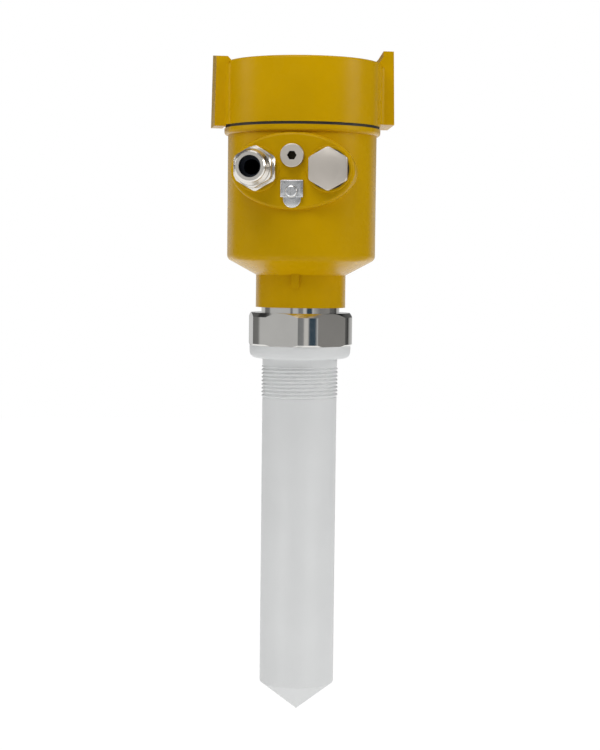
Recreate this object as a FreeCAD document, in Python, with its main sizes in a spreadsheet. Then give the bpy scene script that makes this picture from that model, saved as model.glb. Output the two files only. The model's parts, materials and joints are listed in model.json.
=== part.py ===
import FreeCAD
import Part

import os
import re

import Sketcher

# A radar level transmitter for liquids in a tank, in millimetres.
# The origin is on the axis, in the plane of the antenna flange's underside, where the
# transmitter seats on its threaded socket. +Z points up to the cover, the antenna hangs
# below, and the boss with the cable gland looks along -Y.

SIZES = [
    # The plastic antenna cover: flange, relief, thread, rod and conical tip.
    ("flange_radius", 31.6),
    ("flange_height", 8.1),
    ("flange_round", 5.0),
    ("relief_radius", 23.4),
    ("relief_height", 6.0),
    ("thread_radius", 23.9),
    ("thread_length", 18.5),
    ("rod_radius", 23.3),
    ("rod_length", 180.3),
    ("tip_height", 18.2),
    ("antenna_wall", 3.2),
    ("stem_radius", 23.0),
    ("stem_height", 15.0),
    # The steel hexagon fitting with its collar and the spigot that carries the housing.
    ("hexagon_flats", 62.2),
    ("hexagon_corner_radius", 32.9),
    ("hexagon_height", 20.4),
    ("hexagon_bevel_radius", 31.0),
    ("hexagon_bevel_height", 2.6),
    ("hexagon_foot_bevel", 1.0),
    ("hexagon_turn", 45.0),
    ("collar_radius", 24.4),
    ("collar_height", 3.2),
    ("spigot_radius", 20.0),
    ("spigot_rise", 4.5),
    ("module_bore_radius", 15.3),
    ("lead_bore_radius", 3.0),
    ("fit_gap", 0.05),
    ("face_gap", 0.1),
    # The cast housing.
    ("housing_radius", 46.2),
    ("neck_radius", 28.0),
    ("neck_height", 20.1),
    ("shoulder_height", 9.8),
    ("shoulder_round", 4.0),
    ("barrel_height", 76.3),
    ("rim_radius", 48.5),
    ("rim_height", 4.1),
    ("rim_round", 2.0),
    ("screw_collar_radius", 43.6),
    ("screw_collar_height", 15.0),
    ("cavity_radius", 40.7),
    ("floor_rise", 32.4),
    ("rib_width", 4.7),
    ("rib_depth", 1.6),
    ("rib_foot", 12.5),
    ("rib_height", 11.0),
    # The boss on the front of the housing, with two round pads.
    ("boss_rim_gap", 0.6),
    ("boss_half_width", 37.4),
    ("boss_half_height", 23.1),
    ("boss_face", 49.2),
    ("boss_depth", 24.5),
    ("boss_round", 1.8),
    ("pad_rise", 1.0),
    ("pad_radius", 13.9),
    ("pad_round", 0.8),
    ("entry_spacing", 43.5),
    ("entry_rise", 1.0),
    ("entry_thread_radius", 10.0),
    # The screw-on cover with its two lugs.
    ("cover_radius", 48.6),
    ("cover_height", 39.1),
    ("cover_wall", 4.6),
    ("cover_top", 4.0),
    ("cover_round", 1.6),
    ("seal_height", 1.7),
    ("seal_inset", 0.7),
    ("lug_turn", 15.2),
    ("lug_width", 21.8),
    ("lug_reach", 7.5),
    ("lug_lean", 1.0),
    ("lug_root", 4.0),
    ("lug_gusset", 0.57),
    ("lug_step", 0.4),
    ("lug_drop", 1.2),
    ("lug_web", 4.5),
    ("lug_web_bite", 0.1),
    ("lug_web_fall", 2.4),
    ("left_lug_rise", 4.7),
    ("left_lug_slope", 2.5),
    ("left_lug_foot", -1.2),
    ("left_lug_far_foot", -1.2),
    ("right_lug_rise", 7.8),
    ("right_lug_slope", 4.2),
    ("right_lug_foot", 1.7),
    ("right_lug_far_foot", 0.0),
    # The cable gland.
    ("gland_flats", 24.0),
    ("gland_corner_radius", 13.4),
    ("gland_hexagon_height", 5.0),
    ("gland_washer_radius", 11.6),
    ("gland_washer_height", 1.2),
    ("gland_shank_length", 8.5),
    ("gland_bore_radius", 6.4),
    ("gland_collar_radius", 9.9),
    ("gland_collar_height", 14.0),
    ("slide_gap", 0.3),
    ("nut_lift", 0.4),
    ("nut_flats", 22.0),
    ("nut_corner_radius", 12.0),
    ("nut_grip", 11.0),
    ("nut_neck_radius", 10.7),
    ("nut_neck_height", 1.8),
    ("nut_dome_height", 3.2),
    ("nut_waist_radius", 8.9),
    ("nut_end_radius", 9.2),
    ("nut_end_height", 4.9),
    ("nut_end_round", 0.8),
    ("nut_mouth_radius", 6.5),
    ("nut_lip", 2.0),
    ("insert_bore_radius", 4.6),
    ("insert_wall", 2.6),
    ("insert_foot", 0.5),
    ("insert_length", 18.0),
    ("cage_wall", 0.8),
    ("cage_length", 9.0),
    ("cage_lead", 1.2),
    # The blind plug in the second entry, the vent plug and the ground terminal.
    ("plug_flats", 23.0),
    ("plug_corner_radius", 13.0),
    ("plug_face_radius", 12.4),
    ("plug_head_height", 5.0),
    ("plug_washer_radius", 12.2),
    ("plug_washer_height", 1.0),
    ("plug_shank_length", 9.0),
    ("plug_shank_bore", 7.6),
    ("vent_rise", 8.9),
    ("vent_head_radius", 7.05),
    ("vent_head_height", 3.6),
    ("vent_head_round", 0.5),
    ("vent_socket_flats", 5.0),
    ("vent_socket_depth", 3.0),
    ("vent_shank_radius", 4.0),
    ("vent_shank_length", 7.5),
    ("vent_washer_radius", 6.6),
    ("vent_washer_height", 0.8),
    ("ground_drop", 12.5),
    ("tongue_width", 10.8),
    ("tongue_thickness", 1.5),
    ("tongue_top", 5.2),
    ("tongue_drop", 4.2),
    ("clamp_width", 13.6),
    ("clamp_top", 6.8),
    ("clamp_foot", 3.4),
    ("clamp_sheet", 1.0),
    ("clamp_depth", 3.4),
    ("ground_head_radius", 3.6),
    ("ground_head_height", 2.6),
    ("ground_head_round", 1.0),
    ("ground_washer_radius", 4.2),
    ("ground_washer_height", 1.0),
    ("ground_shank_radius", 2.0),
    ("ground_shank_length", 8.0),
    ("cross_width", 1.0),
    ("cross_length", 4.4),
    ("cross_depth", 1.3),
    # The ring and seal that hold the housing on the spigot.
    ("swivel_ring_reach", 2.8),
    ("swivel_ring_bite", 1.5),
    ("swivel_ring_height", 1.5),
    ("swivel_ring_gap", 6.0),
    ("swivel_seal_radius", 0.9),
    ("swivel_seal_rise", 12.0),
    # What the antenna and the fitting hold.
    ("antenna_seal_height", 1.4),
    ("horn_flange_radius", 15.0),
    ("horn_flange_height", 2.0),
    ("waveguide_radius", 6.0),
    ("horn_wall", 1.0),
    ("horn_neck_depth", 60.0),
    ("horn_mouth_depth", 190.0),
    ("horn_mouth_gap", 0.35),
    ("microwave_height", 20.0),
    ("lead_radius", 1.5),
    # What the housing holds.
    ("module_foot", 8.0),
    ("module_radius", 28.5),
    ("module_height", 26.0),
    ("ear_width", 12.0),
    ("ear_height", 4.0),
    ("ear_spacing", 68.0),
    ("ear_end", 4.0),
    ("pillar_radius", 4.6),
    ("terminal_width", 36.0),
    ("terminal_depth", 15.0),
    ("terminal_height", 10.0),
    ("terminal_shift", 5.0),
    ("terminal_pitch", 8.5),
    ("terminal_hole_radius", 1.7),
    ("terminal_hole_depth", 9.0),
    ("terminal_hole_rise", 3.5),
    ("terminal_well_radius", 2.6),
    ("terminal_well_depth", 2.6),
    ("terminal_screw_radius", 2.4),
    ("terminal_screw_height", 1.8),
    ("small_head_radius", 3.0),
    ("small_head_height", 2.2),
    ("small_shank_radius", 1.5),
    ("small_shank_length", 6.0),
    ("slot_width", 0.8),
    ("slot_depth", 0.9),
    ("earth_post_radius", 5.0),
    ("earth_post_bite", 1.5),
    ("earth_post_height", 36.0),
]

doc = FreeCAD.newDocument("radar_level_transmitter")
sheet = doc.addObject("Spreadsheet::Sheet", "Sizes")
for row, (alias, number) in enumerate(SIZES, start=1):
    sheet.set(f"A{row}", str(number))
    sheet.setAlias(f"A{row}", alias)
doc.recompute()

ALIASES = {alias for alias, number in SIZES}
parts = []


def bound(text):
    """Turns a formula in the sheet's words into one that an object's property can hold."""
    def named(word):
        return "Sizes." + word.group(0) if word.group(0) in ALIASES else word.group(0)

    return re.sub(r"[a-z_]+", named, text)


def value(text):
    """The number that a formula in the sheet's words has now."""
    return float(sheet.evalExpression(bound(text)))


def bind(thing, **formulas):
    """Ties properties of an object to formulas, with two underscores standing for a full stop."""
    for name, text in formulas.items():
        thing.setExpression(name.replace("__", "."), bound(text))


def place(thing, x="0", y="0", z="0"):
    """Ties an object's position to three formulas."""
    bind(thing, Placement__Base__x=x, Placement__Base__y=y, Placement__Base__z=z)


def finish(thing, label):
    """Names a finished sub-part and keeps it for the export."""
    thing.Label = label
    parts.append(thing)
    return thing


def sketch_of(body, name, plane, corners):
    """A closed outline of straight lines whose every corner is tied to two formulas."""
    sketch = body.newObject("Sketcher::SketchObject", name)
    origin_plane = [item for item in body.Origin.OriginFeatures if item.Role == plane][0]
    sketch.AttachmentSupport = [(origin_plane, "")]
    sketch.MapMode = "FlatFace"
    spots = [FreeCAD.Vector(value(x), value(y), 0) for x, y in corners]
    count = len(corners)
    lines = [Part.LineSegment(spots[i], spots[(i + 1) % count]) for i in range(count)]
    sketch.addGeometry(lines, False)
    sketch.addConstraint([Sketcher.Constraint("Coincident", i, 2, (i + 1) % count, 1) for i in range(count)])
    for i, (x, y) in enumerate(corners):
        for kind, text, number in (("DistanceX", x, spots[i].x), ("DistanceY", y, spots[i].y)):
            index = sketch.addConstraint(Sketcher.Constraint(kind, -1, 1, i, 1, number))
            sketch.setExpression(f"Constraints[{index}]", bound(text))
    return sketch


def turned(name, corners):
    """A body turned about Z from an outline of (radius, height) corners."""
    body = doc.addObject("PartDesign::Body", name)
    sketch = sketch_of(body, name + "_outline", "XZ_Plane", corners)
    turn = body.newObject("PartDesign::Revolution", name + "_turn")
    turn.Profile = sketch
    turn.ReferenceAxis = (sketch, ["V_Axis"])
    turn.Angle = 360
    doc.recompute()
    return body


def padded(name, plane, corners, length, midplane=False):
    """A body raised from an outline on one of its origin planes."""
    body = doc.addObject("PartDesign::Body", name)
    sketch = sketch_of(body, name + "_outline", plane, corners)
    pad = body.newObject("PartDesign::Pad", name + "_pad")
    pad.Profile = sketch
    pad.SideType = "Symmetric" if midplane else "One side"
    bind(pad, Length=length)
    doc.recompute()
    return body


def ring_names(shape, radius, height):
    """The names of a shape's circular edges about Z that have a radius and a height."""
    names = []
    for index, edge in enumerate(shape.Edges, start=1):
        curve = edge.Curve
        if not isinstance(curve, Part.Circle):
            continue
        if abs(curve.Radius - value(radius)) < 1e-3 and abs(curve.Center.z - value(height)) < 1e-3:
            names.append(f"Edge{index}")
    return names


def rounded(body, radius, ring_radius, height):
    """Rounds a body's circular edge, given by its radius and height."""
    base = body.Tip
    names = ring_names(base.Shape, ring_radius, height)
    fillet = body.newObject("PartDesign::Fillet", f"{body.Name}_round")
    fillet.Base = (base, names)
    bind(fillet, Radius=radius)
    doc.recompute()
    return body


def solid(kind, name, **formulas):
    """A Part primitive with its sizes tied to formulas."""
    thing = doc.addObject("Part::" + kind, name)
    bind(thing, **formulas)
    return thing


def cylinder(name, radius, height, x="0", y="0", z="0"):
    thing = solid("Cylinder", name, Radius=radius, Height=height)
    place(thing, x, y, z)
    return thing


def box(name, width, depth, height, x="0", y="0", z="0"):
    """A box centred on x and y, standing on z."""
    thing = solid("Box", name, Length=width, Width=depth, Height=height)
    place(thing, f"{x} - ({width}) / 2", f"{y} - ({depth}) / 2", z)
    return thing


def hexagon(name, flats, height, z="0", turn=None):
    """A hexagonal bar whose corners point along X and back, or are turned about Z."""
    bar = solid("Prism", name, Circumradius=f"({flats}) / sqrt(3)", Height=height)
    bar.Polygon = 6
    place(bar, z=z)
    if turn:
        bar.Placement.Rotation = FreeCAD.Rotation(FreeCAD.Vector(0, 0, 1), 0)
        bind(bar, Placement__Rotation__Angle=turn)
    return bar


def fuse(name, *shapes):
    thing = doc.addObject("Part::MultiFuse", name)
    thing.Shapes = list(shapes)
    thing.Refine = True
    return thing


def common(name, *shapes):
    thing = doc.addObject("Part::MultiCommon", name)
    thing.Shapes = list(shapes)
    return thing


def cut(name, base, tool):
    thing = doc.addObject("Part::Cut", name)
    thing.Base = base
    thing.Tool = tool
    return thing


def face_front(thing, x="0", y="0", z="0"):
    """Turns a piece built along +Z so that it looks along -Y, with its foot at a point."""
    thing.Placement.Rotation = FreeCAD.Rotation(FreeCAD.Vector(1, 0, 0), 90)
    place(thing, x, y, z)
    return thing


# Heights and planes that several pieces share.
THREAD_FOOT = "(relief_height + thread_length)"
ROD_FOOT = f"({THREAD_FOOT} + rod_length)"
HEXAGON_TOP = "(flange_height + hexagon_height)"
COLLAR_TOP = f"({HEXAGON_TOP} + collar_height)"
NECK_FOOT = f"({COLLAR_TOP} + face_gap)"
NECK_TOP = f"({NECK_FOOT} + neck_height)"
SHOULDER_TOP = f"({NECK_TOP} + shoulder_height)"
RIM_FOOT = f"({SHOULDER_TOP} + barrel_height)"
RIM_TOP = f"({RIM_FOOT} + rim_height)"
SCREW_TOP = f"({RIM_TOP} + screw_collar_height)"
FLOOR = f"({NECK_FOOT} + floor_rise)"
SPIGOT_TOP = f"({FLOOR} + spigot_rise)"
SEAL_TOP = f"({RIM_TOP} + seal_height)"
COVER_TOP = f"({SEAL_TOP} + cover_height)"
STEM_TOP = "(flange_height + stem_height)"
SEAT = f"({STEM_TOP} + antenna_seal_height)"
BOSS = f"({RIM_FOOT} - boss_rim_gap - boss_half_height)"
ENTRY = f"({BOSS} + entry_rise)"
VENT = f"({BOSS} + vent_rise)"
GROUND = f"({BOSS} - ground_drop)"
PAD_FACE = "(boss_face + pad_rise)"
MODULE_FOOT = f"({FLOOR} + module_foot)"
MODULE_TOP = f"({MODULE_FOOT} + module_height)"
EARTH_POST = "(cavity_radius - earth_post_radius)"
EARTH_TOP = f"({FLOOR} + earth_post_height)"
ANTENNA_BORE = "(rod_radius - antenna_wall)"
INSERT_RADIUS = "(insert_bore_radius + insert_wall)"
CAGE_RADIUS = f"({INSERT_RADIUS} + slide_gap + cage_wall)"


def antenna_cover():
    """The white plastic cover, one hollow turned piece closed by its cone."""
    slope = "sqrt(1 + (tip_height / rod_radius) * (tip_height / rod_radius))"
    inner_tip = f"-({ROD_FOOT} + tip_height) + antenna_wall * {slope}"
    inner_foot = f"{inner_tip} + tip_height * {ANTENNA_BORE} / rod_radius"
    body = turned("antenna_cover", [
        ("0", f"-({ROD_FOOT} + tip_height)"),
        ("rod_radius", f"-{ROD_FOOT}"),
        ("rod_radius", f"-{THREAD_FOOT}"),
        ("thread_radius", f"-{THREAD_FOOT}"),
        ("thread_radius", "-relief_height"),
        ("relief_radius", "-relief_height"),
        ("relief_radius", "0"),
        ("flange_radius", "0"),
        ("flange_radius", "flange_height"),
        ("stem_radius", "flange_height"),
        ("stem_radius", STEM_TOP),
        (ANTENNA_BORE, STEM_TOP),
        (ANTENNA_BORE, inner_foot),
        ("0", inner_tip),
    ])
    rounded(body, "flange_round", "flange_radius", "0")
    return finish(body, "antenna_cover")


def hexagon_fitting():
    """The steel fitting: hexagon with turned corners, collar and hollow spigot."""
    bar = hexagon("hexagon_bar", "hexagon_flats", "hexagon_height", "flange_height", turn="hexagon_turn")
    blank = turned("hexagon_blank", [
        ("0", "flange_height"),
        ("hexagon_corner_radius - hexagon_foot_bevel", "flange_height"),
        ("hexagon_corner_radius", "flange_height + hexagon_foot_bevel"),
        ("hexagon_corner_radius", f"{HEXAGON_TOP} - hexagon_bevel_height"),
        ("hexagon_bevel_radius", HEXAGON_TOP),
        ("0", HEXAGON_TOP),
    ])
    seal_height = f"({NECK_FOOT} + swivel_seal_rise)"
    groove = "(spigot_radius - 2 * swivel_seal_radius)"
    ring_foot = f"({FLOOR} + face_gap)"
    ring_top = f"({ring_foot} + swivel_ring_height)"
    spigot = turned("spigot_blank", [
        ("0", "flange_height + face_gap"),
        ("collar_radius - collar_height", "flange_height + face_gap"),
        ("collar_radius", f"{HEXAGON_TOP} - collar_height"),
        ("collar_radius", COLLAR_TOP),
        ("spigot_radius", COLLAR_TOP),
        ("spigot_radius", f"{seal_height} - swivel_seal_radius"),
        (groove, f"{seal_height} - swivel_seal_radius"),
        (groove, f"{seal_height} + swivel_seal_radius"),
        ("spigot_radius", f"{seal_height} + swivel_seal_radius"),
        ("spigot_radius", ring_foot),
        ("spigot_radius - swivel_ring_bite", ring_foot),
        ("spigot_radius - swivel_ring_bite", ring_top),
        ("spigot_radius", ring_top),
        ("spigot_radius", SPIGOT_TOP),
        ("0", SPIGOT_TOP),
    ])
    module_top = f"({SEAT} + microwave_height + fit_gap)"
    hollow = turned("fitting_bore", [
        ("0", "flange_height - face_gap"),
        ("stem_radius + fit_gap", "flange_height - face_gap"),
        ("stem_radius + fit_gap", SEAT),
        ("module_bore_radius", SEAT),
        ("module_bore_radius", module_top),
        ("lead_bore_radius", f"{module_top} + module_bore_radius - lead_bore_radius"),
        ("lead_bore_radius", f"{SPIGOT_TOP} + face_gap"),
        ("0", f"{SPIGOT_TOP} + face_gap"),
    ])
    whole = fuse("fitting_blank", common("hexagon_head", bar, blank), spigot)
    return finish(cut("hexagon_fitting_cut", whole, hollow), "hexagon_fitting")


def swivel_pieces():
    """The seal in the spigot's groove and the split ring that keeps the housing on it."""
    seal = solid("Torus", "swivel_seal_ring", Radius1="spigot_radius - swivel_seal_radius",
                 Radius2="swivel_seal_radius - fit_gap / 2")
    place(seal, z=f"{NECK_FOOT} + swivel_seal_rise")
    finish(seal, "swivel_seal")
    foot = f"{FLOOR} + face_gap"
    outer = cylinder("swivel_ring_outer", "spigot_radius + swivel_ring_reach", "swivel_ring_height", z=foot)
    inner = cylinder("swivel_ring_inner", "spigot_radius - swivel_ring_bite + fit_gap",
                     "swivel_ring_height", z=foot)
    split = box("swivel_ring_split", "swivel_ring_gap", "spigot_radius * 2", "swivel_ring_height",
                y="-spigot_radius", z=foot)
    finish(cut("swivel_ring_open", cut("swivel_ring_full", outer, inner), split), "swivel_ring")


def housing():
    """The cast housing: neck, shoulder, barrel, rim, screw collar and front boss."""
    shell = turned("housing_shell", [
        ("0", NECK_FOOT),
        ("neck_radius", NECK_FOOT),
        ("neck_radius", NECK_TOP),
        ("housing_radius", SHOULDER_TOP),
        ("housing_radius", RIM_FOOT),
        ("rim_radius", RIM_FOOT),
        ("rim_radius", RIM_TOP),
        ("screw_collar_radius", RIM_TOP),
        ("screw_collar_radius", SCREW_TOP),
        ("0", SCREW_TOP),
    ])
    rounded(shell, "min(shoulder_round; shoulder_height)", "housing_radius", SHOULDER_TOP)
    rounded(shell, "min(rim_round; (rim_radius - housing_radius) * 0.95)", "rim_radius", RIM_FOOT)
    outline = solid("Ellipse", "boss_outline", MajorRadius="boss_half_width", MinorRadius="boss_half_height")
    block = doc.addObject("Part::Extrusion", "boss_block")
    block.Base = outline
    block.DirMode = "Custom"
    block.Dir = FreeCAD.Vector(0, 0, 1)
    block.Solid = True
    bind(block, LengthFwd="boss_depth")
    boss = rounded_top("boss_rounded", block, "boss_round", "boss_depth")
    face_front(boss, y="boss_depth - boss_face", z=BOSS)
    pads = []
    for side, sign in (("left", "-"), ("right", "")):
        disc = solid("Cylinder", side + "_pad_disc", Radius="pad_radius", Height="boss_depth")
        pad = rounded_top(side + "_pad", disc, "pad_round", "boss_depth")
        face_front(pad, f"{sign}entry_spacing / 2", f"boss_depth - {PAD_FACE}", ENTRY)
        pads.append(pad)
    rib = box("neck_rib", "rib_width", "neck_radius", "rib_height",
              y="-(neck_radius / 2 + rib_depth)", z=f"{NECK_FOOT} + rib_foot")
    outside = fuse("housing_outside", shell, boss, rib, *pads)
    cavity = turned("housing_cavity", [
        ("0", f"{NECK_FOOT} - face_gap"),
        ("spigot_radius + fit_gap", f"{NECK_FOOT} - face_gap"),
        ("spigot_radius + fit_gap", FLOOR),
        ("cavity_radius - shoulder_height", FLOOR),
        ("cavity_radius", f"{FLOOR} + shoulder_height"),
        ("cavity_radius", f"{SCREW_TOP} + face_gap"),
        ("0", f"{SCREW_TOP} + face_gap"),
    ])
    holes = [
        front_hole("left_entry_hole", "entry_thread_radius", "-entry_spacing / 2", ENTRY),
        front_hole("right_entry_hole", "entry_thread_radius", "entry_spacing / 2", ENTRY),
        front_hole("vent_hole", "vent_shank_radius", "0", VENT),
    ]
    screw_hole = solid("Cylinder", "ground_screw_hole", Radius="ground_shank_radius",
                       Height="ground_shank_length + face_gap")
    face_front(screw_hole, y="-(boss_face - ground_shank_length)", z=GROUND)
    hollow = fuse("housing_hollow", cavity, screw_hole, *holes)
    opened = cut("housing_opened", outside, hollow)
    posts = []
    for side, sign in (("left", "-"), ("right", "")):
        posts.append(cylinder(side + "_pillar", "pillar_radius", "module_foot + face_gap",
                              x=f"{sign}ear_spacing / 2", z=f"{FLOOR} - face_gap"))
    posts.append(cylinder("earth_post", "earth_post_radius", "earth_post_height + face_gap",
                          y=f"{EARTH_POST} + earth_post_bite", z=f"{FLOOR} - face_gap"))
    finish(cut("housing_drilled", fuse("housing_posts", opened, *posts), small_screw_holes()), "housing")


def rounded_top(name, base, radius, height):
    """Rounds the one edge round the top of an upright block."""
    doc.recompute()
    level = value(height)
    edges = []
    for index, edge in enumerate(base.Shape.Edges, start=1):
        lows = (edge.BoundBox.ZMin, edge.BoundBox.ZMax)
        if all(abs(low - level) < 1e-3 for low in lows):
            edges.append((index, value(radius), value(radius)))
    fillet = doc.addObject("Part::Fillet", name)
    fillet.Base = base
    fillet.Edges = edges
    return fillet


def front_hole(name, radius, x, z):
    """A round hole through the boss and the wall behind it."""
    hole = solid("Cylinder", name, Radius=radius, Height="boss_depth + pad_rise + face_gap")
    return face_front(hole, x, "boss_depth - boss_face", z)


def small_screw_holes():
    """The holes that the module screws and the inner ground screw turn into."""
    holes = []
    for side, sign in (("left", "-"), ("right", "")):
        holes.append(cylinder(side + "_pillar_hole", "small_shank_radius", "small_shank_length + face_gap",
                              x=f"{sign}ear_spacing / 2", z=f"{MODULE_FOOT} - small_shank_length"))
    holes.append(cylinder("earth_post_hole", "small_shank_radius", "small_shank_length + face_gap",
                          y=EARTH_POST, z=f"{EARTH_TOP} - small_shank_length"))
    return fuse("small_holes", *holes)


def cover():
    """The cast screw-on cover with its two lugs, one taller than the other."""
    cap = turned("cover_cap", [
        ("cover_radius - cover_wall", SEAL_TOP),
        ("cover_radius", SEAL_TOP),
        ("cover_radius", COVER_TOP),
        ("0", COVER_TOP),
        ("0", f"{COVER_TOP} - cover_top"),
        ("cover_radius - cover_wall", f"{COVER_TOP} - cover_top"),
    ])
    rounded(cap, "cover_round", "cover_radius", COVER_TOP)
    finish(fuse("cover_fused", cap, cover_lug("left", "180"), cover_lug("right", "0")), "cover")


def cover_lug(side, turn):
    """One lug: its outer face leans, its top slopes along the rim, and a web curves into each end."""
    top = f"({COVER_TOP} + {side}_lug_rise)"
    across = padded(side + "_lug_across", "XZ_Plane", [
        ("cover_radius - lug_root", SEAL_TOP),
        ("cover_radius + lug_step", SEAL_TOP),
        ("cover_radius + lug_step", f"{SEAL_TOP} - 2 * lug_drop"),
        ("cover_radius + lug_reach", f"{SEAL_TOP} - 2 * lug_drop"),
        ("cover_radius + lug_reach - lug_lean", f"{top} + lug_step"),
        ("cover_radius", f"{top} + lug_step"),
        ("cover_radius", f"{COVER_TOP} + {side}_lug_rise * lug_gusset"),
        ("cover_radius - lug_root", f"{COVER_TOP} - cover_round"),
    ], "lug_width * 2", midplane=True)
    along = padded(side + "_lug_along", "YZ_Plane", [
        ("-lug_width / 2", f"{SEAL_TOP} + {side}_lug_foot"),
        ("lug_width / 2", f"{SEAL_TOP} + {side}_lug_far_foot"),
        ("lug_width / 2", f"{top} - {side}_lug_slope"),
        ("-lug_width / 2", top),
    ], "3 * cover_radius", midplane=True)
    pieces = [common(side + "_lug_block", across, along)]
    foot = f"({SEAL_TOP} + max({side}_lug_foot; 0))"
    height = f"({COVER_TOP} - lug_web_fall - {foot})"
    reach = "(cover_radius + lug_web - lug_web_bite)"
    y = "(lug_width / 2 + lug_web - lug_web_bite)"
    x = f"sqrt({reach} * {reach} - {y} * {y})"
    root = "(cover_radius - lug_root)"
    for end, sign in (("near", "-"), ("far", "")):
        web = padded(f"{side}_{end}_web", "XY_Plane", [
            (root, f"{sign}(lug_width / 2 - lug_step)"),
            (x, f"{sign}(lug_width / 2 - lug_step)"),
            (x, f"{sign}{y}"),
            (f"{x} * {root} / {reach}", f"{sign}{y} * {root} / {reach}"),
        ], height)
        place(web, z=foot)
        hollow = cylinder(f"{side}_{end}_web_hollow", "lug_web", f"{height} + 2 * face_gap", x=x,
                          y=f"{sign}{y}", z=f"{foot} - face_gap")
        pieces.append(cut(f"{side}_{end}_web_cut", web, hollow))
    lug = fuse(side + "_lug", *pieces)
    bind(lug, Placement__Rotation__Angle=f"{turn} + lug_turn")
    return lug


def cover_seal():
    """The black ring that shows between the housing's rim and the cover."""
    outer = cylinder("cover_seal_outer", "cover_radius - seal_inset", "seal_height", z=RIM_TOP)
    inner = cylinder("cover_seal_inner", "cover_radius - cover_wall", "seal_height", z=RIM_TOP)
    finish(cut("cover_seal_cut", outer, inner), "cover_seal")


def washer(label, inner, outer, height, x, y, z):
    """A flat ring that looks along -Y, standing on the plane y."""
    disc = cut(label + "_cut", solid("Cylinder", label + "_outer", Radius=outer, Height=height),
               solid("Cylinder", label + "_inner", Radius=inner, Height=height))
    face_front(disc, x, y, z)
    finish(disc, label)


def cable_gland():
    """The gland: washer, body, rubber insert, clamping cage and dome nut."""
    spot = {"x": "-entry_spacing / 2", "y": f"-({PAD_FACE} + gland_washer_height)", "z": ENTRY}
    washer("gland_washer", "entry_thread_radius", "gland_washer_radius", "gland_washer_height",
           spot["x"], f"-{PAD_FACE}", spot["z"])
    bar = hexagon("gland_bar", "gland_flats", "gland_hexagon_height", turn="30")
    blank = turned("gland_blank", [
        ("0", "0"),
        ("gland_flats / 2", "0"),
        ("gland_corner_radius", "gland_corner_radius - gland_flats / 2"),
        ("gland_corner_radius", "gland_hexagon_height - (gland_corner_radius - gland_flats / 2)"),
        ("gland_flats / 2", "gland_hexagon_height"),
        ("0", "gland_hexagon_height"),
    ])
    core = turned("gland_core", [
        ("0", "-gland_shank_length"),
        ("entry_thread_radius - fit_gap", "-gland_shank_length"),
        ("entry_thread_radius - fit_gap", "face_gap"),
        ("gland_collar_radius", "gland_hexagon_height - face_gap"),
        ("gland_collar_radius", "gland_collar_height"),
        ("0", "gland_collar_height"),
    ])
    bore = turned("gland_bore", [
        ("0", "-gland_shank_length - face_gap"),
        ("gland_bore_radius", "-gland_shank_length - face_gap"),
        ("gland_bore_radius", "-insert_foot"),
        (f"{CAGE_RADIUS} + slide_gap", "-insert_foot"),
        (f"{CAGE_RADIUS} + slide_gap", "gland_collar_height + face_gap"),
        ("0", "gland_collar_height + face_gap"),
    ])
    body = cut("gland_body_cut", fuse("gland_solid", common("gland_head", bar, blank), core), bore)
    finish(face_front(body, **spot), "gland_body")

    insert_top = "(insert_length - insert_foot)"
    insert = turned("gland_insert_turned", [
        ("insert_bore_radius", "-insert_foot"),
        (INSERT_RADIUS, "-insert_foot"),
        (INSERT_RADIUS, insert_top),
        ("insert_bore_radius", insert_top),
    ])
    finish(face_front(insert, **spot), "gland_insert")

    cage_inner = f"({INSERT_RADIUS} + slide_gap)"
    cage_top = f"({insert_top} + cage_lead)"
    cage = turned("gland_cage_turned", [
        (cage_inner, f"{cage_top} - cage_length"),
        (CAGE_RADIUS, f"{cage_top} - cage_length"),
        (CAGE_RADIUS, cage_top),
        (cage_inner, cage_top),
    ])
    finish(face_front(cage, **spot), "gland_cage")

    foot = "(gland_hexagon_height + nut_lift)"
    grip = f"({foot} + nut_grip)"
    waist = f"({grip} + nut_neck_height + nut_dome_height)"
    end = f"({waist} + nut_end_height)"
    bevel = "(nut_corner_radius - nut_flats / 2)"
    outside = turned("nut_blank", [
        ("0", foot),
        ("nut_flats / 2", foot),
        ("nut_corner_radius", f"{foot} + {bevel}"),
        ("nut_corner_radius", f"{grip} - {bevel}"),
        ("nut_flats / 2", grip),
        ("0", grip),
    ])
    hex_bar = hexagon("nut_bar", "nut_flats", "nut_grip", foot, turn="30")
    dome = turned("nut_dome", [
        ("0", f"{foot} + face_gap"),
        ("nut_neck_radius", f"{foot} + face_gap"),
        ("nut_neck_radius", f"{grip} + nut_neck_height"),
        ("nut_waist_radius", waist),
        ("nut_end_radius", f"{waist} + nut_end_round"),
        ("nut_end_radius", f"{end} - nut_end_round"),
        ("nut_end_radius - nut_end_round", end),
        ("0", end),
    ])
    hollow = turned("nut_hollow", [
        ("0", f"{foot} - face_gap"),
        ("gland_collar_radius + slide_gap", f"{foot} - face_gap"),
        ("gland_collar_radius + slide_gap", grip),
        (CAGE_RADIUS, f"{cage_top} + slide_gap"),
        ("nut_mouth_radius", f"{end} - nut_lip"),
        ("nut_mouth_radius", f"{end} + face_gap"),
        ("0", f"{end} + face_gap"),
    ])
    nut = cut("nut_cut", fuse("nut_solid", common("nut_head", outside, hex_bar), dome), hollow)
    finish(face_front(nut, **spot), "gland_nut")


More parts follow.
